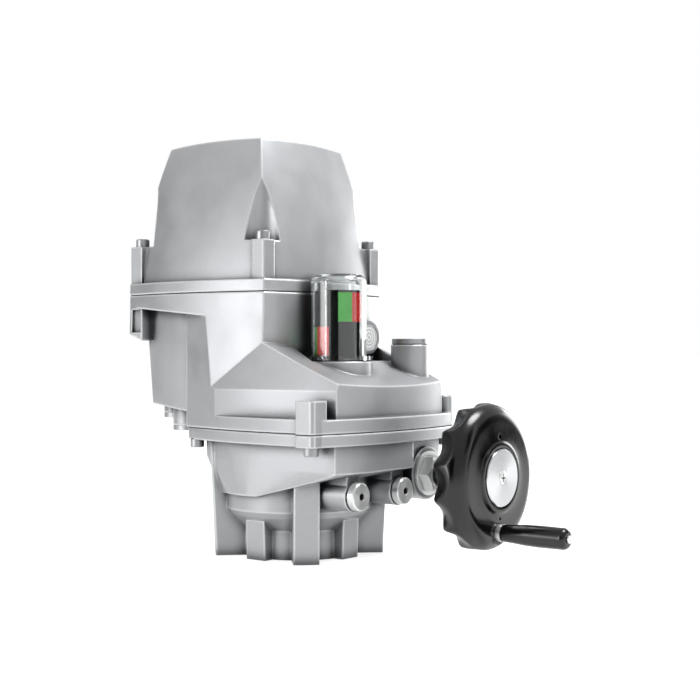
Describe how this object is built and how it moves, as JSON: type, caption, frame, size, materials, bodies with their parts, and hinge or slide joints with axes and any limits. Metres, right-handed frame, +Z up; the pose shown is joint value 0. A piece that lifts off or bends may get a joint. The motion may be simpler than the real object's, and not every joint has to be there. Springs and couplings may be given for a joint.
{
  "type": "electric valve actuator",
  "caption": "Quarter-turn valve actuator: cast gear case and housing under a hood, motor and worm drive, handwheel, clear indicator dome and bolted valve flange with square stem socket.",
  "frame": {"origin": "centre of the valve flange's bolt circle, on the flange face", "axes": "+Z up along the output shaft, +X along the worm shaft towards the handwheel, +Y completes the right hand"},
  "size_m": [0.3261, 0.1758, 0.299],
  "materials": {
    "casting": "fine textured silver grey coat on die cast aluminium",
    "bright_steel": "bright stainless steel",
    "dark_steel": "plain machined steel",
    "seal_rubber": "black rubber",
    "black_plastic": "glossy black moulded plastic",
    "bronze": "machined bronze",
    "brass": "machined brass",
    "disc_metal": "turned aluminium",
    "dome_clear": "clear polycarbonate",
    "lens_white": "milky lens",
    "drum_black": "satin black plastic",
    "field_green": "green field",
    "field_red": "red field",
    "board_green": "circuit board",
    "terminal_green": "moulded terminals"
  },
  "bodies": {
    "housing": {"gear_case": "casting", "case_gasket": "seal_rubber", "main_housing": "casting", "hood_gasket": "seal_rubber", "hood": "casting", "hood_screws": "bright_steel", "case_screws": "bright_steel", "stop_screw_open": "dark_steel", "stop_screw_close": "dark_steel", "stop_cap_open": "bright_steel", "stop_cap_close": "bright_steel", "stop_cap_seals": "seal_rubber", "output_seal": "seal_rubber", "output_bush_lower": "bronze", "output_bush_upper": "bronze", "worm_bearing_front": "bright_steel", "worm_bearing_rear": "bright_steel", "bearing_nut": "bright_steel", "shaft_seal": "seal_rubber", "bearing_cover": "bright_steel", "indicator_dome": "dome_clear", "dome_seal": "seal_rubber", "indicator_bush": "bronze", "pillar_plug": "bright_steel", "pillar_seal": "seal_rubber", "cable_plug_large": "bright_steel", "cable_plug_small": "bright_steel", "status_bezel": "bright_steel", "status_lens": "lens_white", "gear_plate": "dark_steel", "idler_pin": "bright_steel", "motor": "dark_steel", "control_board": "board_green", "board_posts": "brass", "board_parts": "drum_black", "terminal_block": "terminal_green"},
    "worm_line": {"worm_shaft": "bright_steel", "drive_gear": "dark_steel", "handwheel": "black_plastic", "wheel_disc": "disc_metal", "wheel_screw": "bright_steel", "crank_spindle": "bright_steel"},
    "output_line": {"output_drive": "dark_steel", "worm_wheel": "bronze", "output_gear": "bright_steel"},
    "idler": {"idler_gear": "dark_steel"},
    "rotor": {"motor_pinion": "bright_steel"},
    "indicator": {"indicator_shaft": "bright_steel", "indicator_drum": "drum_black", "indicator_green": "field_green", "indicator_red": "field_red"},
    "grip": {"crank_grip": "black_plastic"}
  },
  "joints": [
    {"name": "worm_turn", "type": "hinge", "parent": "housing", "child": "worm_line", "pos_m": [0, 0.055, 0.0572], "axis": [1, 0, 0], "range_deg": [0, 3690]},
    {"name": "output_turn", "type": "hinge", "parent": "housing", "child": "output_line", "pos_m": [0, 0, 0.05], "axis": [0, 0, 1], "range_deg": [0, 90]},
    {"name": "idler_turn", "type": "hinge", "parent": "housing", "child": "idler", "pos_m": [-0.0345, 0.04831, 0.09512], "axis": [1, 0, 0], "range_deg": [-1882, 0]},
    {"name": "rotor_turn", "type": "hinge", "parent": "housing", "child": "rotor", "pos_m": [-0.0345, 0.04831, 0.12862], "axis": [1, 0, 0], "range_deg": [0, 5997]},
    {"name": "indicator_turn", "type": "hinge", "parent": "housing", "child": "indicator", "pos_m": [0.036, 0, 0.14], "axis": [0, 0, 1], "range_deg": [-90, 0]},
    {"name": "grip_spin", "type": "hinge", "parent": "worm_line", "child": "grip", "pos_m": [0.162, 0.055, 0.0192], "axis": [1, 0, 0], "continuous": true}
  ],
  "couplings": [
    {"joint": "output_turn", "follows": "worm_turn", "ratio": 0.02439},
    {"joint": "idler_turn", "follows": "worm_turn", "ratio": -0.5098},
    {"joint": "rotor_turn", "follows": "worm_turn", "ratio": 1.625},
    {"joint": "indicator_turn", "follows": "worm_turn", "ratio": -0.02439}
  ]
}
